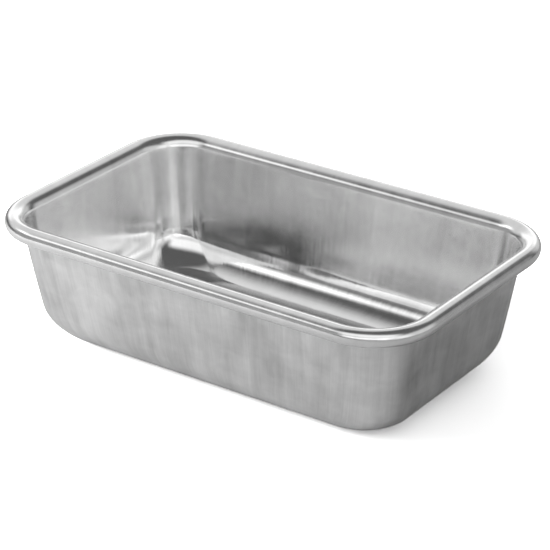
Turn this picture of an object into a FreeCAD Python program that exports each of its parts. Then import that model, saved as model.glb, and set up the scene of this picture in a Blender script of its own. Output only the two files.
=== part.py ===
import FreeCAD, Part
import math
import os

import Sketcher

"""Seamless drawn loaf pan: one sheet-metal shell whose rim is curled over a steel wire.

Frame: millimetres, +Z up, +X along the pan's length, origin at the centre of the underside of the base.
"""

# Driving dimensions, in millimetres and degrees.
DIMENSIONS = {
    "rim_length": 261.0,
    "rim_width": 164.5,
    "pan_height": 74.6,
    "bead_diameter": 9.4,
    "bead_corner_radius": 31.5,
    "sheet_thickness": 2.0,
    "wall_taper": 8.5,
    "wall_inset": 4.45,
    "wall_corner_radius": 24.0,
    "bottom_radius": 25.0,
    "flare_radius": 7.0,
    "junction_drop": 1.6,
    "curl_end_angle": 150.0,
    "wire_diameter": 5.2,
    "wire_end_gap": 1.5,
}

# Stations round the bottom radius, as fractions of the bend from the flat base to the wall.
BEND_STATIONS = (0.0, 1 / 6, 2 / 6, 3 / 6, 4 / 6, 5 / 6, 1.0)

START, END, CENTRE = 1, 2, 3
ORIGIN_POINT = (-1, 1)

SHEET = "<<dims>>."
THICKNESS = f"{SHEET}sheet_thickness"
BEAD_RADIUS = f"{SHEET}bead_diameter / 2"
BEAD_HEIGHT = f"({SHEET}pan_height - {SHEET}bead_diameter / 2)"
TAPER = f"({SHEET}wall_taper * 1 deg)"


def make_document():
    """Return the document with its dimension sheet filled in."""
    document = FreeCAD.newDocument("loaf_pan")
    sheet = document.addObject("Spreadsheet::Sheet", "dims")
    for row, (alias, value) in enumerate(DIMENSIONS.items(), start=1):
        sheet.set(f"A{row}", alias)
        sheet.set(f"B{row}", str(value))
        sheet.setAlias(f"B{row}", alias)
    document.recompute()
    return document


def origin_plane(body, role):
    """Return one of the body's own origin planes."""
    return next(item for item in body.Origin.OriginFeatures if item.Role == role)


def new_sketch(body, name, role, offset_expression="0"):
    """Return an empty sketch on an origin plane of the body, moved along the plane's normal."""
    sketch = body.newObject("Sketcher::SketchObject", name)
    sketch.AttachmentSupport = [(origin_plane(body, role), "")]
    sketch.MapMode = "FlatFace"
    sketch.setExpression("AttachmentOffset.Base.z", offset_expression)
    return sketch


def number(sketch, expression):
    """Return the value of an expression as a plain number."""
    result = sketch.evalExpression(expression)
    return float(getattr(result, "Value", result))


def constrain(sketch, kind, *arguments):
    """Add one constraint and return its index."""
    return sketch.addConstraint(Sketcher.Constraint(kind, *arguments))


def drive(sketch, name, expression, kind, *arguments):
    """Add a dimension to a sketch and bind it to an expression."""
    index = constrain(sketch, kind, *arguments)
    sketch.renameConstraint(index, name)
    sketch.setExpression(f"Constraints.{name}", expression)


def mean_bead_half(side):
    """Expression for half the length of the bead's centre line along one side."""
    return f"({SHEET}{side} - {SHEET}bead_diameter) / 2"


def bend_centre(side):
    """Expression for the distance from the pan's centre to the centre of the bottom bend."""
    rise = f"({BEAD_HEIGHT} - {SHEET}bottom_radius)"
    return (
        f"({mean_bead_half(side)} - {SHEET}wall_inset - {rise} * tan({TAPER})"
        f" - {SHEET}bottom_radius / cos({TAPER}))"
    )


def wall_half_at_junction(side, inner):
    """Expression for half the wall's length where it meets the rim."""
    shift = f"{THICKNESS} / cos({TAPER})" if inner else "0"
    return (
        f"({mean_bead_half(side)} - {SHEET}wall_inset - {SHEET}junction_drop * tan({TAPER}) - {shift})"
    )


def corner_at_junction(inner):
    """Expression for the wall's plan corner radius where it meets the rim."""
    shift = f"{THICKNESS} / cos({TAPER})" if inner else "0"
    return (
        f"({SHEET}bead_corner_radius - {SHEET}wall_inset - {SHEET}junction_drop * tan({TAPER}) - {shift})"
    )


def rounded_rectangle(sketch, half_length, half_width, radius, split_right=False, gap=None):
    """Draw a rounded rectangle about the origin, bound to three expressions.

    split_right puts a vertex in the middle of the +X side; gap opens the +Y side there.
    """
    length, width, corner = (number(sketch, item) for item in (half_length, half_width, radius))
    opening = number(sketch, gap) / 2 if gap else 0.0
    point = FreeCAD.Vector
    up = point(0, 0, 1)
    straight_x = length - corner
    straight_y = width - corner

    def line(start, end):
        return Part.LineSegment(point(*start, 0), point(*end, 0))

    def arc(x_sign, y_sign, from_angle):
        circle = Part.Circle(point(x_sign * straight_x, y_sign * straight_y, 0), up, corner)
        return Part.ArcOfCircle(circle, from_angle, from_angle + math.pi / 2)

    right = [line((length, -straight_y), (length, straight_y))]
    if split_right:
        right = [line((length, 0), (length, straight_y))]
    top = [line((straight_x, width), (-straight_x, width))]
    if gap:
        top = [line((straight_x, width), (opening, width)), line((-opening, width), (-straight_x, width))]
    chain = right + [arc(1, 1, 0)] + top + [arc(-1, 1, math.pi / 2)]
    chain += [line((-length, straight_y), (-length, -straight_y)), arc(-1, -1, math.pi)]
    chain += [line((-straight_x, -width), (straight_x, -width)), arc(1, -1, 1.5 * math.pi)]
    if split_right:
        chain += [line((length, -straight_y), (length, 0))]
    ids = [sketch.addGeometry(piece, False) for piece in chain]
    arcs = [index for index, piece in zip(ids, chain) if isinstance(piece, Part.ArcOfCircle)]
    lines = [index for index in ids if index not in arcs]

    for current, following in zip(ids, ids[1:] + ids[:1]):
        both_lines = current in lines and following in lines
        opened = gap and both_lines
        if opened:
            continue
        kind = "Coincident" if both_lines else "Tangent"
        constrain(sketch, kind, current, END, following, START)
    for index in lines:
        piece = chain[ids.index(index)]
        upright = abs(piece.StartPoint.x - piece.EndPoint.x) < abs(piece.StartPoint.y - piece.EndPoint.y)
        constrain(sketch, "Vertical" if upright else "Horizontal", index)
    for index in arcs[1:]:
        constrain(sketch, "Equal", arcs[0], index)
    constrain(sketch, "Symmetric", arcs[0], CENTRE, arcs[2], CENTRE, *ORIGIN_POINT)
    drive(sketch, "Corner", radius, "Radius", arcs[0], corner)
    drive(sketch, "HalfLength", half_length, "DistanceX", *ORIGIN_POINT, arcs[0], START, length)
    drive(sketch, "HalfWidth", half_width, "DistanceY", *ORIGIN_POINT, arcs[0], END, width)
    if split_right:
        constrain(sketch, "PointOnObject", ids[0], START, -1)
    if gap:
        near, far = (index for index in lines if chain[ids.index(index)].StartPoint.y == width)
        drive(sketch, "GapRight", f"{gap} / 2", "DistanceX", *ORIGIN_POINT, near, END, opening)
        drive(sketch, "GapLeft", f"{gap} / 2", "DistanceX", far, START, *ORIGIN_POINT, opening)


def ring(body, name, height, half_length, half_width, radius):
    """Return a horizontal rounded-rectangle sketch of the shell at one height."""
    sketch = new_sketch(body, name, "XY_Plane", height)
    rounded_rectangle(sketch, half_length, half_width, radius)
    return sketch


def bend_ring(body, name, station, inner):
    """Return the ring at one station round the bottom bend, on the outer or the inner face."""
    angle = f"({station:.6f} * (90 deg - {TAPER}))"
    radius = f"({SHEET}bottom_radius - {THICKNESS})" if inner else f"{SHEET}bottom_radius"
    height = f"{SHEET}bottom_radius - {radius} * cos({angle})"
    reach = f"{radius} * sin({angle})"
    corner = f"{SHEET}wall_corner_radius"
    if inner:
        corner = f"({corner} - {THICKNESS} * sin({angle}))"
    length = f"{bend_centre('rim_length')} + {reach}"
    width = f"{bend_centre('rim_width')} + {reach}"
    return ring(body, name, height, length, width, corner)


def junction_ring(body, name, inner):
    """Return the ring at the level where the wall meets the rim."""
    height = f"{BEAD_HEIGHT} - {SHEET}junction_drop"
    length = wall_half_at_junction("rim_length", inner)
    width = wall_half_at_junction("rim_width", inner)
    return ring(body, name, height, length, width, corner_at_junction(inner))


def loft(body, kind, name, rings, ruled):
    """Add or cut a loft through the rings, from the first to the last."""
    feature = body.newObject(f"PartDesign::{kind}", name)
    feature.Profile = rings[0]
    feature.Sections = rings[1:]
    feature.Ruled = ruled
    body.Document.recompute()
    return feature


def draw_wall(body, side, inner):
    """Add the outer bowl of the shell, or cut the cavity out of it."""
    kind = "SubtractiveLoft" if inner else "AdditiveLoft"
    bend = [
        bend_ring(body, f"{side}BendRing{index}", station, inner)
        for index, station in enumerate(BEND_STATIONS)
    ]
    foot = bend_ring(body, f"{side}WallFoot", BEND_STATIONS[-1], inner)
    head = junction_ring(body, f"{side}WallHead", inner)
    body.Document.recompute()
    loft(body, kind, f"{side}Bend", bend, ruled=False)
    loft(body, kind, f"{side}Wall", [foot, head], ruled=True)


def rim_geometry(sketch):
    """Return the named points and arcs of the rim section, in the sketch's own plane."""

    centre_x = number(sketch, mean_bead_half("rim_length"))
    centre_z = number(sketch, BEAD_HEIGHT)
    bead = number(sketch, BEAD_RADIUS)
    sheet = number(sketch, THICKNESS)
    flare = number(sketch, f"{SHEET}flare_radius")
    inset = number(sketch, f"{SHEET}wall_inset")
    drop = number(sketch, f"{SHEET}junction_drop")
    taper = math.radians(number(sketch, f"{SHEET}wall_taper"))
    end_angle = -math.radians(number(sketch, f"{SHEET}curl_end_angle"))

    inboard = (-math.cos(taper), math.sin(taper))
    along = (math.sin(taper), math.cos(taper))
    face_distance = inset * math.cos(taper) + sheet
    behind = flare - face_distance
    below = math.sqrt((flare - bead) ** 2 - behind**2)
    flare_x = -behind * inboard[0] - below * along[0]
    flare_z = -behind * inboard[1] - below * along[1]
    meet_angle = math.atan2(-flare_z, -flare_x)
    wall_angle = math.pi - taper

    def polar(x, z, radius, angle):
        return (centre_x + x + radius * math.cos(angle), centre_z + z + radius * math.sin(angle))

    outer_foot = centre_x - inset - drop * math.tan(taper)
    inner_foot = outer_foot - sheet / math.cos(taper)
    return {
        "bead": bead,
        "bore": bead - sheet,
        "flare": flare,
        "flare_back": flare - sheet,
        "angles": (wall_angle, meet_angle, end_angle),
        "centre": (centre_x, centre_z),
        "flare_centre": (centre_x + flare_x, centre_z + flare_z),
        "inner_foot": (inner_foot, centre_z - drop),
        "outer_foot": (outer_foot, centre_z - drop),
        "inner_knee": polar(flare_x, flare_z, flare, wall_angle),
        "outer_knee": polar(flare_x, flare_z, flare - sheet, wall_angle),
        "end_outside": polar(0, 0, bead, end_angle),
        "end_inside": polar(0, 0, bead - sheet, end_angle),
    }


def draw_rim_section(body):
    """Return the closed section of the rim: the top of the wall, the flare and the curl."""
    sketch = new_sketch(body, "RimSection", "XZ_Plane")
    shape = rim_geometry(sketch)
    wall_angle, meet_angle, end_angle = shape["angles"]

    def line(start, end):
        return Part.LineSegment(FreeCAD.Vector(*start, 0), FreeCAD.Vector(*end, 0))

    def arc(centre, radius, first, last):
        circle = Part.Circle(FreeCAD.Vector(*centre, 0), FreeCAD.Vector(0, 0, 1), radius)
        return Part.ArcOfCircle(circle, first, last)

    pieces = {
        "foot": line(shape["inner_foot"], shape["outer_foot"]),
        "back": line(shape["outer_foot"], shape["outer_knee"]),
        "flare_back": arc(shape["flare_centre"], shape["flare_back"], meet_angle, wall_angle),
        "bore": arc(shape["centre"], shape["bore"], end_angle, meet_angle),
        "cut_edge": line(shape["end_inside"], shape["end_outside"]),
        "bead": arc(shape["centre"], shape["bead"], end_angle, meet_angle),
        "flare": arc(shape["flare_centre"], shape["flare"], meet_angle, wall_angle),
        "face": line(shape["inner_knee"], shape["inner_foot"]),
    }
    ids = {name: sketch.addGeometry(piece, False) for name, piece in pieces.items()}
    for kind, first, first_point, second, second_point in (
        ("Coincident", "foot", END, "back", START),
        ("Tangent", "back", END, "flare_back", END),
        ("Tangent", "flare_back", START, "bore", END),
        ("Coincident", "bore", START, "cut_edge", START),
        ("Coincident", "cut_edge", END, "bead", START),
        ("Tangent", "bead", END, "flare", START),
        ("Tangent", "flare", END, "face", START),
        ("Coincident", "face", END, "foot", START),
        ("Coincident", "bead", CENTRE, "bore", CENTRE),
    ):
        constrain(sketch, kind, ids[first], first_point, ids[second], second_point)
    constrain(sketch, "Horizontal", ids["foot"])
    constrain(sketch, "PointOnObject", ids["bead"], CENTRE, ids["cut_edge"])

    centre_x, centre_z = shape["centre"]
    foot_x, foot_z = shape["outer_foot"]
    bead_half = mean_bead_half("rim_length")
    drive(sketch, "BeadX", bead_half, "DistanceX", *ORIGIN_POINT, ids["bead"], CENTRE, centre_x)
    drive(sketch, "BeadZ", BEAD_HEIGHT, "DistanceY", *ORIGIN_POINT, ids["bead"], CENTRE, centre_z)
    drive(sketch, "BeadRadius", BEAD_RADIUS, "Radius", ids["bead"], shape["bead"])
    drive(sketch, "BoreRadius", f"{BEAD_RADIUS} - {THICKNESS}", "Radius", ids["bore"], shape["bore"])
    drive(sketch, "FlareRadius", f"{SHEET}flare_radius", "Radius", ids["flare"], shape["flare"])
    foot_expression = wall_half_at_junction("rim_length", inner=False)
    drive(sketch, "FootX", foot_expression, "DistanceX", *ORIGIN_POINT, ids["foot"], END, foot_x)
    foot_expression = f"{BEAD_HEIGHT} - {SHEET}junction_drop"
    drive(sketch, "FootZ", foot_expression, "DistanceY", *ORIGIN_POINT, ids["foot"], END, foot_z)
    lean = math.pi / 2 - (math.pi - wall_angle)
    drive(sketch, "WallLean", f"90 deg - {TAPER}", "Angle", ids["back"], lean)
    cut_angle = f"360 deg - {SHEET}curl_end_angle * 1 deg"
    drive(sketch, "CutAngle", cut_angle, "Angle", ids["cut_edge"], 2 * math.pi + end_angle)
    return sketch


def bead_path(body, name, gap=None):
    """Return the centre line of the bead as a horizontal sketch."""
    sketch = new_sketch(body, name, "XY_Plane", BEAD_HEIGHT)
    rounded_rectangle(
        sketch,
        mean_bead_half("rim_length"),
        mean_bead_half("rim_width"),
        f"{SHEET}bead_corner_radius",
        split_right=gap is None,
        gap=gap,
    )
    return sketch


def sweep(body, name, profile, path):
    """Sweep a profile along a path sketch."""
    feature = body.newObject("PartDesign::AdditivePipe", name)
    feature.Profile = profile
    feature.Spine = (path, [])
    body.Document.recompute()
    return feature


def make_body(document, name):
    """Return an empty body with its own label and placement."""
    body = document.addObject("PartDesign::Body", name)
    body.Label = name
    body.Placement = FreeCAD.Placement()
    return body


def make_pan_shell(document):
    """Drawn bowl with its rim curled outward into a round bead."""
    body = make_body(document, "pan_shell")
    draw_wall(body, "Outer", inner=False)
    draw_wall(body, "Inner", inner=True)
    section = draw_rim_section(body)
    path = bead_path(body, "RimPath")
    document.recompute()
    body.Tip = sweep(body, "RimCurl", section, path)
    return body


def make_rim_wire(document):
    """Round wire lying in the bead, its two ends butted at the middle of the +Y side."""
    body = make_body(document, "rim_wire")
    path = bead_path(body, "WirePath", gap=f"{SHEET}wire_end_gap")
    profile = new_sketch(body, "WireSection", "YZ_Plane", f"{SHEET}wire_end_gap / 2")
    centre_y = number(profile, mean_bead_half("rim_width"))
    centre_z = number(profile, BEAD_HEIGHT)
    radius = number(profile, f"{SHEET}wire_diameter / 2")
    centre = FreeCAD.Vector(centre_y, centre_z, 0)
    circle = profile.addGeometry(Part.Circle(centre, FreeCAD.Vector(0, 0, 1), radius), False)
    wire_half = mean_bead_half("rim_width")
    drive(profile, "WireY", wire_half, "DistanceX", *ORIGIN_POINT, circle, CENTRE, centre_y)
    drive(profile, "WireZ", BEAD_HEIGHT, "DistanceY", *ORIGIN_POINT, circle, CENTRE, centre_z)
    drive(profile, "WireRadius", f"{SHEET}wire_diameter / 2", "Radius", circle, radius)
    document.recompute()
    body.Tip = sweep(body, "Wire", profile, path)
    return body


def check(document):
    """Stop if any object failed to compute."""
    for item in document.Objects:
        if "Invalid" in item.State or "Error" in item.State:
            raise RuntimeError(f"{item.Label} did not compute: {item.State}")


def export(body):
    """Write one body to its own STEP file after checking its solid."""
    shape = body.Shape
    if shape.isNull() or not shape.isValid() or len(shape.Solids) != 1:
        raise RuntimeError(f"{body.Label} is not one valid solid")
    shape.exportStep(f"parts/{body.Label}.step")


os.makedirs("parts", exist_ok=True)
pan_document = make_document()
pan_bodies = [make_pan_shell(pan_document), make_rim_wire(pan_document)]
pan_document.recompute()
check(pan_document)
for pan_body in pan_bodies:
    export(pan_body)
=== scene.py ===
import math

import bpy
import numpy as np
from mathutils import Matrix, Vector


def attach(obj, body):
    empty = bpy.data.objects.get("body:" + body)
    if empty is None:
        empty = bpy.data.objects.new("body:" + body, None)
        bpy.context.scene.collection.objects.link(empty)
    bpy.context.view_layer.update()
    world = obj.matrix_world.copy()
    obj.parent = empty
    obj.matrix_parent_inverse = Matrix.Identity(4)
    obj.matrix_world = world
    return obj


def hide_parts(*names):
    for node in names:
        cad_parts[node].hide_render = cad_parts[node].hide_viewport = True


MM = 0.001

# The pan's own sizes, in millimetres and radians, the same as in the CAD model.
RIM_LENGTH = 261.0
RIM_WIDTH = 164.5
PAN_HEIGHT = 74.6
BEAD_RADIUS = 4.7
BEAD_CORNER = 31.5
SHEET = 2.0
TAPER = math.radians(8.5)
WALL_INSET = 4.45
WALL_CORNER = 24.0
BOTTOM_RADIUS = 25.0
FLARE_RADIUS = 7.0
CURL_END = math.radians(-150.0)
EDGE_ROUND = 0.35

BEAD_X = RIM_LENGTH / 2 - BEAD_RADIUS
BEAD_Z = PAN_HEIGHT - BEAD_RADIUS
WIDTH_STEP = (RIM_LENGTH - RIM_WIDTH) / 2
CORNER_CENTRE = BEAD_X - BEAD_CORNER

# Mesh density: steps round the pan, then along the section.
LONG_STEPS = 72
SHORT_STEPS = 40
CORNER_STEPS = 24
RING_SIZE = 2 * (LONG_STEPS + SHORT_STEPS + 2 * CORNER_STEPS)
BASE_SHARES = (0.04, 0.16, 0.32, 0.48, 0.64, 0.78, 0.88, 0.95)
BEND_STEPS = 22
WALL_STEPS = 26
FLARE_STEPS = 8
BEAD_STEPS = 44
BORE_STEPS = 24
EDGE_STEPS = 10

# Waviness that drawing leaves in the walls, in millimetres: it fades in above the bend and
# out below the rim.
WAVE_SEED = 7
WAVE_COUNT = 14
WAVE_HEIGHT = 0.05
WAVE_LENGTHS = (28.0, 90.0)
WAVE_RISE = 0.35
WAVE_FADE_IN = (6.0, 24.0)
WAVE_FADE_OUT = (50.0, 66.0)

# Order of the sheet's materials.
INSIDE_FINISH, RIM_FINISH, OUTSIDE_FINISH = 0, 1, 2


def wall_reach(height):
    """Half length of the outer wall face at a height, in millimetres."""
    return BEAD_X - WALL_INSET - (BEAD_Z - height) * math.tan(TAPER)


BEND_CENTRE = wall_reach(BOTTOM_RADIUS) - BOTTOM_RADIUS / math.cos(TAPER)
BEND_TURN = math.pi / 2 - TAPER
BEND_LENGTH = BOTTOM_RADIUS * BEND_TURN * MM


def flare_frame():
    """Centre of the flare arc, and the angle where it meets the bead, about the bead's centre."""
    inboard = np.array([-math.cos(TAPER), math.sin(TAPER)])
    along = np.array([math.sin(TAPER), math.cos(TAPER)])
    behind = FLARE_RADIUS - (WALL_INSET * math.cos(TAPER) + SHEET)
    below = math.sqrt((FLARE_RADIUS - BEAD_RADIUS) ** 2 - behind**2)
    centre = -behind * inboard - below * along
    return centre, math.atan2(-centre[1], -centre[0])


FLARE_CENTRE, MEET_ANGLE = flare_frame()
WALL_ANGLE = math.pi - TAPER
BEAD_CENTRE = (0.0, 0.0)


def polar(centre, radius, angle):
    """Point of a rim arc: half length and height. The centre is given from the bead's centre."""
    return (
        BEAD_X + centre[0] + radius * math.cos(angle),
        BEAD_Z + centre[1] + radius * math.sin(angle),
    )


def hermite(u, first, last, first_slope, last_slope):
    """Cubic between two values with given end slopes, u from 0 to 1."""
    return (
        (2 * u**3 - 3 * u**2 + 1) * first
        + (u**3 - 2 * u**2 + u) * first_slope
        + (-2 * u**3 + 3 * u**2) * last
        + (u**3 - u**2) * last_slope
    )


def smoothstep(low, high, value):
    """0 below low, 1 above high, smooth between."""
    u = np.clip((value - low) / (high - low), 0.0, 1.0)
    return u * u * (3 - 2 * u)


# Each station of the section is (half length, height, corner radius), in millimetres.


def bend_side(inner):
    """Stations round the bottom bend, from the flat base to the wall."""
    radius = BOTTOM_RADIUS - (SHEET if inner else 0.0)
    rows = []
    for step in range(BEND_STEPS + 1):
        turn = BEND_TURN * step / BEND_STEPS
        corner = WALL_CORNER - (SHEET * math.sin(turn) if inner else 0.0)
        half_length = BEND_CENTRE + radius * math.sin(turn)
        rows.append((half_length, BOTTOM_RADIUS - radius * math.cos(turn), corner))
    return rows


def wall_side(inner):
    """Stations up the wall, between bend and flare. The corner radius eases into the rim's."""
    foot_x, foot_z, foot_corner = bend_side(inner)[-1]
    head_radius = FLARE_RADIUS - (0.0 if inner else SHEET)
    head_x, head_z = polar(FLARE_CENTRE, head_radius, WALL_ANGLE)
    head_corner = head_x - CORNER_CENTRE
    slope = math.tan(TAPER) * (head_z - foot_z)
    rows = []
    for step in range(1, WALL_STEPS):
        u = step / WALL_STEPS
        corner = hermite(u, foot_corner, head_corner, 0.0, slope)
        rows.append((foot_x + (head_x - foot_x) * u, foot_z + (head_z - foot_z) * u, corner))
    return rows


def rim_arc(centre, radius, first, last, steps):
    """Stations round a rim arc; its corners are concentric with the bead's."""
    rows = []
    for step in range(steps + 1):
        x, z = polar(centre, radius, first + (last - first) * step / steps)
        rows.append((x, z, x - CORNER_CENTRE))
    return rows


def cut_edge():
    """Stations over the sheet's cut edge at the end of the curl, with both arrises rounded."""
    middle = BEAD_RADIUS - SHEET / 2
    rows = []
    for step in range(1, EDGE_STEPS):
        angle = math.pi * (step / EDGE_STEPS)
        bulge = math.sin(angle) ** 0.5
        radius = middle + math.cos(angle) * SHEET / 2
        x, z = polar(BEAD_CENTRE, radius, CURL_END - bulge * EDGE_ROUND / BEAD_RADIUS)
        rows.append((x, z, x - CORNER_CENTRE))
    return rows


def section():
    """The sheet's section, from the inside of the base over the rim to the underside.

    Returns the stations, and the indices at which the rim, its bead and the cut edge start.
    """
    rows = bend_side(inner=True) + wall_side(inner=True)
    rim_start = len(rows)
    rows += rim_arc(FLARE_CENTRE, FLARE_RADIUS, WALL_ANGLE, MEET_ANGLE, FLARE_STEPS)
    bead_start = len(rows)
    rows += rim_arc(BEAD_CENTRE, BEAD_RADIUS, MEET_ANGLE, CURL_END, BEAD_STEPS)[1:]
    cut_start = len(rows)
    rows += cut_edge()
    rows += rim_arc(BEAD_CENTRE, BEAD_RADIUS - SHEET, CURL_END, MEET_ANGLE, BORE_STEPS)
    rows += rim_arc(FLARE_CENTRE, FLARE_RADIUS - SHEET, MEET_ANGLE, WALL_ANGLE, FLARE_STEPS)[1:]
    rows += wall_side(inner=False)[::-1] + bend_side(inner=False)[::-1]
    return rows, rim_start, bead_start, cut_start


def ring_points(half_length, corner):
    """Plan points of one ring, their outward directions and their distance round the ring.

    The ring starts at the middle of the +X side and runs anticlockwise.
    """
    half_width = half_length - WIDTH_STEP
    cx = half_length - corner
    cy = half_width - corner
    points, normals = [], []

    def side(start, end, normal, steps):
        for step in range(steps):
            share = step / steps
            points.append([a + (b - a) * share for a, b in zip(start, end)])
            normals.append(normal)

    def turn(x, y, first):
        for step in range(CORNER_STEPS):
            angle = first + math.pi / 2 * step / CORNER_STEPS
            points.append([x + corner * math.cos(angle), y + corner * math.sin(angle)])
            normals.append([math.cos(angle), math.sin(angle)])

    side((half_length, 0), (half_length, cy), [1, 0], SHORT_STEPS // 2)
    turn(cx, cy, 0)
    side((cx, half_width), (-cx, half_width), [0, 1], LONG_STEPS)
    turn(-cx, cy, math.pi / 2)
    side((-half_length, cy), (-half_length, -cy), [-1, 0], SHORT_STEPS)
    turn(-cx, -cy, math.pi)
    side((-cx, -half_width), (cx, -half_width), [0, -1], LONG_STEPS)
    turn(cx, -cy, 1.5 * math.pi)
    side((half_length, -cy), (half_length, 0), [1, 0], SHORT_STEPS // 2)
    points = np.array(points)
    steps = np.linalg.norm(np.roll(points, -1, 0) - points, axis=1)
    around = np.concatenate([[0.0], np.cumsum(steps)[:-1]])
    return points, np.array(normals), around


def draw_waves(plan, height):
    """Outward push of the walls' waviness at plan points of one height, in millimetres."""
    random = np.random.default_rng(WAVE_SEED)
    total = np.zeros(len(plan))
    for _ in range(WAVE_COUNT):
        length = random.uniform(*WAVE_LENGTHS)
        heading = random.uniform(0.0, 2 * math.pi)
        rise = random.uniform(-WAVE_RISE, WAVE_RISE)
        phase = random.uniform(0.0, 2 * math.pi)
        wave = plan[:, 0] * math.cos(heading) + plan[:, 1] * math.sin(heading) + rise * height
        total += np.sin(2 * math.pi * wave / length + phase)
    fade = smoothstep(*WAVE_FADE_IN, height) * (1 - smoothstep(*WAVE_FADE_OUT, height))
    return WAVE_HEIGHT * total / math.sqrt(WAVE_COUNT) * fade


def wall_ring(half_length, height, corner):
    """Ring of the section at one station, in millimetres."""
    plan, normals, _ = ring_points(half_length, corner)
    plan = plan + normals * draw_waves(plan, height)[:, None]
    return np.column_stack([plan, np.full(RING_SIZE, height)])


def on_spine(ring):
    """The X of the nearest points on the line along the middle of the base."""
    return np.clip(ring[:, 0], -WIDTH_STEP, WIDTH_STEP)


def base_rings(edge):
    """Rings that fill the flat base inside its edge ring, from the middle outward."""
    spine = np.column_stack([on_spine(edge), np.zeros(RING_SIZE)])
    height = np.full(RING_SIZE, edge[0, 2])
    return [
        np.column_stack([spine + (edge[:, :2] - spine) * share, height]) for share in BASE_SHARES
    ]


def ring_faces(count):
    """Quads between each ring and the next one."""
    faces = []
    for low in range(0, (count - 1) * RING_SIZE, RING_SIZE):
        high = low + RING_SIZE
        for index in range(RING_SIZE):
            following = (index + 1) % RING_SIZE
            faces.append((low + index, high + index, high + following, low + following))
    return faces


def base_cap(ring, ring_start, spine_start, flip):
    """Spine points and faces that close the smallest ring of a base."""
    spine = {}
    ids = []
    for x in on_spine(ring):
        key = round(float(x), 4)
        if key not in spine:
            spine[key] = spine_start + len(spine)
        ids.append(spine[key])
    faces = []
    for index in range(RING_SIZE):
        following = (index + 1) % RING_SIZE
        corners = [ring_start + index, ring_start + following, ids[following], ids[index]]
        corners = list(dict.fromkeys(corners))
        faces.append(tuple(corners[::-1] if flip else corners))
    return [(x * MM, 0.0, ring[0, 2] * MM) for x in spine], faces


def add_layouts(mesh, around, profile_of_vertex):
    """Two UV layers, in metres: distance round by profile length, and the seamless round."""
    loops = np.empty(len(mesh.loops), dtype=np.int64)
    mesh.loops.foreach_get("vertex_index", loops)
    distance = around[loops % RING_SIZE] * MM
    sheet = np.column_stack([distance, profile_of_vertex[loops]])
    mesh.uv_layers.new(name="sheet").data.foreach_set("uv", sheet.ravel())
    radius = (around[-1] + around[1]) * MM / (2 * math.pi)
    turn = distance / radius
    circle = radius * np.column_stack([np.cos(turn), np.sin(turn)])
    mesh.uv_layers.new(name="round").data.foreach_set("uv", circle.ravel())


def build_shell():
    """The drawn sheet as one closed mesh. Also returns the length of its section, in metres."""
    rows, rim_start, bead_start, cut_start = section()
    walls = [wall_ring(*row) for row in rows]
    inside = base_rings(walls[0])
    outside = base_rings(walls[-1])[::-1]
    rings = inside + walls + outside
    last_start = (len(rings) - 1) * RING_SIZE
    spine_start = len(rings) * RING_SIZE
    top_spine, top_cap = base_cap(rings[0], 0, spine_start, flip=False)
    under_start = spine_start + len(top_spine)
    under_spine, under_cap = base_cap(rings[-1], last_start, under_start, flip=True)
    strips = ring_faces(len(rings))
    points = np.vstack([np.vstack(rings) * MM, top_spine, under_spine])

    mesh = bpy.data.meshes.new("pan_shell_sheet")
    mesh.from_pydata([tuple(point) for point in points], [], strips + top_cap + under_cap)
    mesh.update()
    mesh.polygons.foreach_set("use_smooth", [True] * len(mesh.polygons))

    profile = [0.0]
    for (x, z, _), (next_x, next_z, _) in zip(rows, rows[1:]):
        profile.append(profile[-1] + math.hypot(next_x - x, next_z - z))
    profile_of_vertex = np.concatenate([
        np.repeat([0.0] * len(inside) + profile + [profile[-1]] * len(outside), RING_SIZE),
        np.zeros(len(top_spine)),
        np.full(len(under_spine), profile[-1]),
    ])
    around = ring_points(rows[bead_start][0], rows[bead_start][2])[2]
    add_layouts(mesh, around, profile_of_vertex * MM)

    finish_of_ring = np.full(len(rings) - 1, INSIDE_FINISH, dtype=np.int32)
    finish_of_ring[len(inside) + rim_start:] = RIM_FINISH
    finish_of_ring[len(inside) + cut_start:] = OUTSIDE_FINISH
    finish_of_face = np.concatenate([
        np.repeat(finish_of_ring, RING_SIZE),
        np.full(len(top_cap), INSIDE_FINISH, dtype=np.int32),
        np.full(len(under_cap), OUTSIDE_FINISH, dtype=np.int32),
    ])
    mesh.polygons.foreach_set("material_index", finish_of_face)
    shell = bpy.data.objects.new("pan_shell_sheet", mesh)
    bpy.context.scene.collection.objects.link(shell)
    return shell, profile[-1] * MM


# Noise of the finishes: features per metre along each axis, detail and distortion.
# Laid on the pan's own axes:
CLOUD = ((24.0, 24.0, 30.0), 4.0, 0.5)
PATCH = ((80.0, 80.0, 110.0), 3.0, 0.8)
ROLL = ((9.0, 260.0, 260.0), 3.0, 0.0)
FINE_ROLL = ((45.0, 1900.0, 1900.0), 2.0, 0.0)
HAIR = ((45.0, 1000.0, 1000.0), 1.0, 0.0)
HAIR_BACK = ((60.0, 1200.0, 1200.0), 1.0, 0.0)
# Laid on the unrolled sheet, round the pan and then along the section:
BROAD = ((75.0, 75.0, 13.0), 3.0, 0.7)
STREAK = ((260.0, 260.0, 22.0), 5.0, 0.9)
FINE = ((1700.0, 1700.0, 60.0), 2.0, 0.6)
DARK_BAND_WANDER = ((22.0, 22.0, 22.0), 3.0, 0.0)
DARK_BAND_GAPS = ((30.0, 30.0, 30.0), 2.0, 0.0)
# On the wire:
WIRE_CLOUD = ((45.0, 45.0, 45.0), 4.0, 0.5)
WIRE_LINE = ((60.0, 60.0, 2200.0), 3.0, 0.0)
WIRE_SPOT = ((260.0, 260.0, 260.0), 3.0, 0.0)

# Hairlines: their directions in degrees, and the noise levels between which they show.
HAIR_TURN = (20.0, 35.0, 50.0)
HAIR_BACK_TURN = (-30.0, 15.0, -40.0)
HAIR_LEVELS = (0.2, 0.27)
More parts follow.
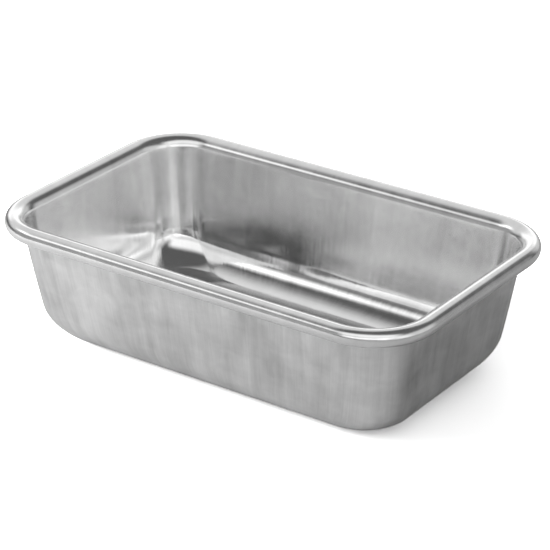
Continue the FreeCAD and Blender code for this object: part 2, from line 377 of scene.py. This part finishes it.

# Along the section, in metres: where the polish of the base ends, where rolled grain
# starts to give way to draw streaks, and where the darker, duller band runs inside.
POLISH_FADE = (0.028, 0.062)
GRAIN_FADE_START = 0.004
DARK_BAND_PLACE = 0.036
DARK_BAND_WANDER_SIZE = 0.02
DARK_BAND_EDGES = (0.0005, 0.006)
DARK_BAND_GAP_LEVELS = (-0.1, 0.15)

# Height of the relief that the bump maps stand for, in metres.
PAN_RELIEF = 0.0001
WIRE_RELIEF = 0.00003


def new_material(name):
    """A node material with its output and an all-metal principled shader."""
    material = bpy.data.materials.new(name)
    material.use_nodes = True
    tree = material.node_tree
    tree.nodes.clear()
    output = tree.nodes.new("ShaderNodeOutputMaterial")
    shader = tree.nodes.new("ShaderNodeBsdfPrincipled")
    shader.inputs["Metallic"].default_value = 1.0
    tree.links.new(shader.outputs["BSDF"], output.inputs["Surface"])
    return material, tree, shader


def math_node(tree, operation, first, second=0.0):
    """A Math node; inputs are sockets or numbers."""
    node = tree.nodes.new("ShaderNodeMath")
    node.operation = operation
    for slot, value in enumerate((first, second)):
        if isinstance(value, bpy.types.NodeSocket):
            tree.links.new(value, node.inputs[slot])
        else:
            node.inputs[slot].default_value = value
    return node.outputs[0]


def ramp(tree, value, low, high, first=0.0, last=1.0):
    """Smooth step of a socket between two values."""
    node = tree.nodes.new("ShaderNodeMapRange")
    node.interpolation_type = "SMOOTHSTEP"
    node.inputs["From Min"].default_value = low
    node.inputs["From Max"].default_value = high
    node.inputs["To Min"].default_value = first
    node.inputs["To Max"].default_value = last
    tree.links.new(value, node.inputs["Value"])
    return node.outputs["Result"]


def noise(tree, vector, stretch, detail, distortion):
    """Noise about zero, from -0.5 to 0.5."""
    scaled = tree.nodes.new("ShaderNodeVectorMath")
    scaled.operation = "MULTIPLY"
    tree.links.new(vector, scaled.inputs[0])
    scaled.inputs[1].default_value = stretch
    node = tree.nodes.new("ShaderNodeTexNoise")
    node.inputs["Scale"].default_value = 1.0
    node.inputs["Detail"].default_value = detail
    node.inputs["Distortion"].default_value = distortion
    tree.links.new(scaled.outputs["Vector"], node.inputs["Vector"])
    return math_node(tree, "SUBTRACT", node.outputs["Fac"], 0.5)


def weighted(tree, start, *terms):
    """start plus each term times its weight."""
    total = start
    for socket, weight in terms:
        total = math_node(tree, "ADD", math_node(tree, "MULTIPLY", socket, weight), total)
    return total


def hairlines(tree, place, angles, marks):
    """Sparse fine lines that run in a direction of their own."""
    node = tree.nodes.new("ShaderNodeVectorRotate")
    node.rotation_type = "EULER_XYZ"
    node.inputs["Rotation"].default_value = [math.radians(angle) for angle in angles]
    tree.links.new(place, node.inputs["Vector"])
    return ramp(tree, noise(tree, node.outputs["Vector"], *marks), *HAIR_LEVELS)


def sheet_places(tree):
    """Sockets of the length along the section and of the place on the unrolled sheet."""
    axes = {}
    for layer in ("sheet", "round"):
        node = tree.nodes.new("ShaderNodeUVMap")
        node.uv_map = layer
        axes[layer] = tree.nodes.new("ShaderNodeSeparateXYZ")
        tree.links.new(node.outputs["UV"], axes[layer].inputs[0])
    profile = axes["sheet"].outputs["Y"]
    combine = tree.nodes.new("ShaderNodeCombineXYZ")
    tree.links.new(axes["round"].outputs["X"], combine.inputs["X"])
    tree.links.new(axes["round"].outputs["Y"], combine.inputs["Y"])
    tree.links.new(profile, combine.inputs["Z"])
    return profile, combine.outputs["Vector"]


def mixed_color(tree, factor, dark, light, shader):
    """Sets the shader's base colour between two colours."""
    color = tree.nodes.new("ShaderNodeMix")
    color.data_type = "RGBA"
    color.clamp_factor = True
    color.inputs["A"].default_value = (*dark, 1.0)
    color.inputs["B"].default_value = (*light, 1.0)
    tree.links.new(factor, color.inputs["Factor"])
    tree.links.new(color.outputs["Result"], shader.inputs["Base Color"])


def bumped(tree, height, distance, shader):
    """Gives the shader a relief from a height socket."""
    bump = tree.nodes.new("ShaderNodeBump")
    bump.inputs["Strength"].default_value = 1.0
    bump.inputs["Distance"].default_value = distance
    tree.links.new(height, bump.inputs["Height"])
    tree.links.new(bump.outputs["Normal"], shader.inputs["Normal"])


def drawn_metal(name, greys, roughness, grain_fade, clouds=0.9, streaks=0.6, grain=1.0,
                base_roughness=None, dark_banded=False):
    """Worn aluminium: handling clouds, draw streaks, rolled grain on the base, fine hairlines.

    grain_fade is the pair of section lengths between which rolled grain gives way to
    draw streaks. A base roughness makes the base more polished than the walls. With
    dark_banded set, the finish has a darker, duller uneven band that runs round the sheet.
    """
    material, tree, shader = new_material(name)
    place = tree.nodes.new("ShaderNodeTexCoord").outputs["Object"]
    profile, sheet = sheet_places(tree)
    drawn = ramp(tree, profile, *grain_fade)
    rolled = math_node(tree, "SUBTRACT", 1.0, drawn)
    cloud = noise(tree, place, *CLOUD)
    patch = noise(tree, place, *PATCH)
    broad = math_node(tree, "MULTIPLY", noise(tree, sheet, *BROAD), drawn)
    streak = math_node(tree, "MULTIPLY", noise(tree, sheet, *STREAK), drawn)
    roll = math_node(tree, "MULTIPLY", noise(tree, place, *ROLL), rolled)
    fine = math_node(tree, "MULTIPLY", noise(tree, sheet, *FINE), drawn)
    fine_roll = math_node(tree, "MULTIPLY", noise(tree, place, *FINE_ROLL), rolled)
    hair = hairlines(tree, place, HAIR_TURN, HAIR)
    hair_back = hairlines(tree, place, HAIR_BACK_TURN, HAIR_BACK)

    tone = weighted(
        tree, 0.5, (cloud, clouds), (patch, 0.35 * clouds), (broad, streaks),
        (streak, 0.4 * streaks), (roll, 0.5 * grain), (fine, 0.2 * grain),
        (fine_roll, 0.2 * grain), (hair, 0.02), (hair_back, -0.03),
    )
    if base_roughness is not None:
        roughness = ramp(tree, profile, *POLISH_FADE, base_roughness, roughness)
    dull = weighted(
        tree, roughness,
        (patch, 0.10), (cloud, 0.08), (broad, 0.07), (streak, 0.05), (roll, 0.05),
    )
    # A darker, duller uneven band round the inside, about where the bend meets the wall, broken by
    # gaps.
    if dark_banded:
        wander = weighted(tree, profile, (noise(tree, sheet, *DARK_BAND_WANDER), DARK_BAND_WANDER_SIZE))
        offset = math_node(tree, "ABSOLUTE", math_node(tree, "SUBTRACT", wander, DARK_BAND_PLACE))
        band = ramp(tree, offset, *DARK_BAND_EDGES, 1.0, 0.0)
        gaps = ramp(tree, noise(tree, sheet, *DARK_BAND_GAPS), *DARK_BAND_GAP_LEVELS)
        band = math_node(tree, "MULTIPLY", band, gaps)
        tone = weighted(tree, tone, (band, -0.45))
        dull = weighted(tree, dull, (band, 0.10))
    dark, light = greys
    mixed_color(tree, tone, (dark,) * 3, (light,) * 3, shader)
    tree.links.new(dull, shader.inputs["Roughness"])
    height = weighted(
        tree, 0.0, (cloud, 1.5), (broad, 0.8), (streak, 0.4), (roll, 0.3), (fine, 0.09),
        (fine_roll, 0.09),
    )
    bumped(tree, height, PAN_RELIEF * grain, shader)
    return material


def pan_finishes(sheet_length):
    """Finishes of the inside, the rim and the outside, for a section of a given length."""
    return (
        drawn_metal(
            "pan_metal_inside", (0.68, 0.98), 0.24, (GRAIN_FADE_START, BEND_LENGTH),
            base_roughness=0.09, dark_banded=True,
        ),
        drawn_metal(
            "pan_metal_rim", (0.60, 0.94), 0.20, (-0.01, 0.0), clouds=0.5, streaks=0.5, grain=0.5,
        ),
        drawn_metal(
            "pan_metal_outside", (0.44, 0.92), 0.34,
            (sheet_length - GRAIN_FADE_START, sheet_length - BEND_LENGTH),
            clouds=1.1, streaks=0.8,
        ),
    )


def wire_metal():
    """Bright drawn steel wire with fine lines, dull spots and a slightly uneven tone."""
    material, tree, shader = new_material("wire_metal")
    place = tree.nodes.new("ShaderNodeTexCoord").outputs["Object"]
    cloud = noise(tree, place, *WIRE_CLOUD)
    line = noise(tree, place, *WIRE_LINE)
    spot = ramp(tree, noise(tree, place, *WIRE_SPOT), 0.08, 0.16)
    tone = weighted(tree, 0.5, (cloud, 0.7), (line, 0.7), (spot, -0.25))
    mixed_color(tree, tone, (0.30, 0.29, 0.28), (0.62, 0.62, 0.61), shader)
    dull = weighted(tree, 0.32, (cloud, 0.15), (line, 0.15), (spot, 0.15))
    tree.links.new(dull, shader.inputs["Roughness"])
    bumped(tree, weighted(tree, 0.0, (line, 1.0), (spot, -0.4)), WIRE_RELIEF, shader)
    return material


# Soft light panels round the pan: azimuth and elevation of the middle, half width, half
# height and edge softness, all in degrees, and level.
PANELS = {
    "rear_left": (147.0, 41.0, 47.0, 26.0, 9.0, 0.7),
    "rear_low": (131.0, 17.0, 28.0, 9.0, 6.0, 0.8),
    "left": (-146.0, 35.0, 17.0, 6.0, 6.0, 1.6),
    "front": (-66.0, 48.0, 39.0, 16.0, 9.0, 1.05),
    "near": (-68.0, 17.0, 35.0, 9.5, 9.0, 1.4),
    "right": (13.0, 10.0, 36.0, 23.0, 9.0, 0.6),
    "right_low": (-22.0, -4.0, 22.0, 30.0, 9.0, 0.45),
    "rear": (88.0, 8.0, 16.0, 20.0, 9.0, 0.6),
    "left_low": (-135.0, 10.0, 24.0, 12.0, 9.0, 0.3),
}
AMBIENT = 0.12

# Tones of the table and backdrop to the eye, and of the table in reflections.
FLOOR_SEEN = 2.2
FLOOR_MIRRORED = 0.48
BACKDROP_SEEN = 1.0
FLOOR_HALF = 4.0
FLOOR_DROP = 0.0002

LAMP_PLACE = (-0.48, -0.38, 0.4)
LAMP_SIZE = 0.6
LAMP_POWER = 7.5

# Camera: angles in degrees, then metres, then millimetres of lens and sensor.
CAMERA_AZIMUTH = 35.16
CAMERA_ELEVATION = 25.46
CAMERA_BACK = 1.2861
CAMERA_RIGHT = 0.00326
CAMERA_UP = 0.04119
CAMERA_NUDGE = (0.001, -0.0023, 0.0)
CAMERA_CLIP = (0.05, 20.0)
LENS = 158.01
SENSOR = 36.0


def direction(azimuth, elevation):
    """Unit vector; azimuth from +X towards +Y, in degrees."""
    a, e = math.radians(azimuth), math.radians(elevation)
    return Vector((math.cos(a) * math.cos(e), math.sin(a) * math.cos(e), math.sin(e)))


def dot(tree, socket, vector):
    """Dot product of a socket and a fixed vector."""
    node = tree.nodes.new("ShaderNodeVectorMath")
    node.operation = "DOT_PRODUCT"
    tree.links.new(socket, node.inputs[0])
    node.inputs[1].default_value = vector
    return node.outputs["Value"]


def panel_level(tree, ray, azimuth, elevation, half_width, half_height, soft, level):
    """Light of one flat panel seen in a direction, as a socket."""
    middle = direction(azimuth, elevation)
    across = Vector((0, 0, 1)).cross(middle).normalized()
    upward = middle.cross(across)
    ahead = math_node(tree, "MAXIMUM", dot(tree, ray, middle), 0.001)
    shares = []
    for vector, half in ((across, half_width), (upward, half_height)):
        slope = math_node(tree, "DIVIDE", dot(tree, ray, vector), ahead)
        near = math.tan(math.radians(max(half - soft, 0.5)))
        far = math.tan(math.radians(half + soft))
        shares.append(ramp(tree, math_node(tree, "ABSOLUTE", slope), near, far, 1.0, 0.0))
    return math_node(tree, "MULTIPLY", math_node(tree, "MULTIPLY", *shares), level)


def seen_or_mirrored(tree, seen, mirrored, output):
    """Shows one shader to the eye and the other one in reflections."""
    path = tree.nodes.new("ShaderNodeLightPath")
    mix = tree.nodes.new("ShaderNodeMixShader")
    tree.links.new(path.outputs["Is Camera Ray"], mix.inputs["Fac"])
    tree.links.new(mirrored.outputs[0], mix.inputs[1])
    tree.links.new(seen.outputs[0], mix.inputs[2])
    tree.links.new(mix.outputs["Shader"], output.inputs["Surface"])


def build_world():
    """Soft studio light: a few large panels over a dim surround, and a plain pale backdrop."""
    world = bpy.data.worlds.new("studio")
    bpy.context.scene.world = world
    world.use_nodes = True
    tree = world.node_tree
    background = tree.nodes["Background"]
    ray = tree.nodes.new("ShaderNodeTexCoord").outputs["Generated"]
    light = AMBIENT
    for panel in PANELS.values():
        light = math_node(tree, "ADD", light, panel_level(tree, ray, *panel))
    tree.links.new(light, background.inputs["Color"])
    backdrop = tree.nodes.new("ShaderNodeBackground")
    backdrop.inputs["Color"].default_value = (*(BACKDROP_SEEN,) * 3, 1.0)
    seen_or_mirrored(tree, backdrop, background, tree.nodes["World Output"])


def build_floor():
    """White table, overexposed to the eye, while the metal mirrors its true tone."""
    mesh = bpy.data.meshes.new("floor")
    corners = [(-1, -1), (1, -1), (1, 1), (-1, 1)]
    mesh.from_pydata([(x * FLOOR_HALF, y * FLOOR_HALF, 0) for x, y in corners], [], [(0, 1, 2, 3)])
    floor = bpy.data.objects.new("floor", mesh)
    floor.location.z = -FLOOR_DROP
    bpy.context.scene.collection.objects.link(floor)
    material = bpy.data.materials.new("floor")
    material.use_nodes = True
    tree = material.node_tree
    tree.nodes.clear()
    output = tree.nodes.new("ShaderNodeOutputMaterial")
    seen, mirrored = (tree.nodes.new("ShaderNodeBsdfDiffuse") for _ in range(2))
    seen.inputs["Color"].default_value = (*(FLOOR_SEEN,) * 3, 1.0)
    mirrored.inputs["Color"].default_value = (*(FLOOR_MIRRORED,) * 3, 1.0)
    seen_or_mirrored(tree, seen, mirrored, output)
    mesh.materials.append(material)


def build_lamp():
    """Soft box at the front left, kept out of the metal's reflections."""
    data = bpy.data.lights.new("table_light", "AREA")
    data.shape = "SQUARE"
    data.size = LAMP_SIZE
    data.energy = LAMP_POWER
    lamp = bpy.data.objects.new("table_light", data)
    lamp.location = LAMP_PLACE
    lamp.rotation_mode = "QUATERNION"
    lamp.rotation_quaternion = Vector(LAMP_PLACE).to_track_quat("Z", "Y")
    lamp.visible_glossy = False
    bpy.context.scene.collection.objects.link(lamp)


def build_camera():
    """Camera at the pan's three-quarter view from the front right, above the rim."""
    data = bpy.data.cameras.new("camera")
    camera = bpy.data.objects.new("camera", data)
    bpy.context.scene.collection.objects.link(camera)
    azimuth = math.radians(CAMERA_AZIMUTH)
    back = direction(CAMERA_AZIMUTH - 90.0, CAMERA_ELEVATION)
    right = Vector((math.cos(azimuth), math.sin(azimuth), 0.0))
    up = back.cross(right)
    camera.location = (
        back * CAMERA_BACK + right * CAMERA_RIGHT + up * CAMERA_UP + Vector(CAMERA_NUDGE)
    )
    camera.rotation_mode = "QUATERNION"
    camera.rotation_quaternion = Matrix((right, up, back)).transposed().to_quaternion()
    data.sensor_width = SENSOR
    data.lens = LENS
    data.clip_start, data.clip_end = CAMERA_CLIP
    bpy.context.scene.camera = camera


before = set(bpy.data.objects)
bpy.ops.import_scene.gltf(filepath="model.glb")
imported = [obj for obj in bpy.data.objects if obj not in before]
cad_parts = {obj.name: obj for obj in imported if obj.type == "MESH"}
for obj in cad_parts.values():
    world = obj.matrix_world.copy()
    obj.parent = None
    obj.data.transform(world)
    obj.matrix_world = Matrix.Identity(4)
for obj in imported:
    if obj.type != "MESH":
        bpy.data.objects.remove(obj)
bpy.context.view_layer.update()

shell, sheet_length = build_shell()
for finish in pan_finishes(sheet_length):
    shell.data.materials.append(finish)
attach(shell, "root")
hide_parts("pan_shell")

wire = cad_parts["rim_wire"]
wire.data.materials.clear()
wire.data.materials.append(wire_metal())

build_floor()
build_lamp()
build_world()
build_camera()
bpy.context.scene.view_settings.view_transform = "Standard"
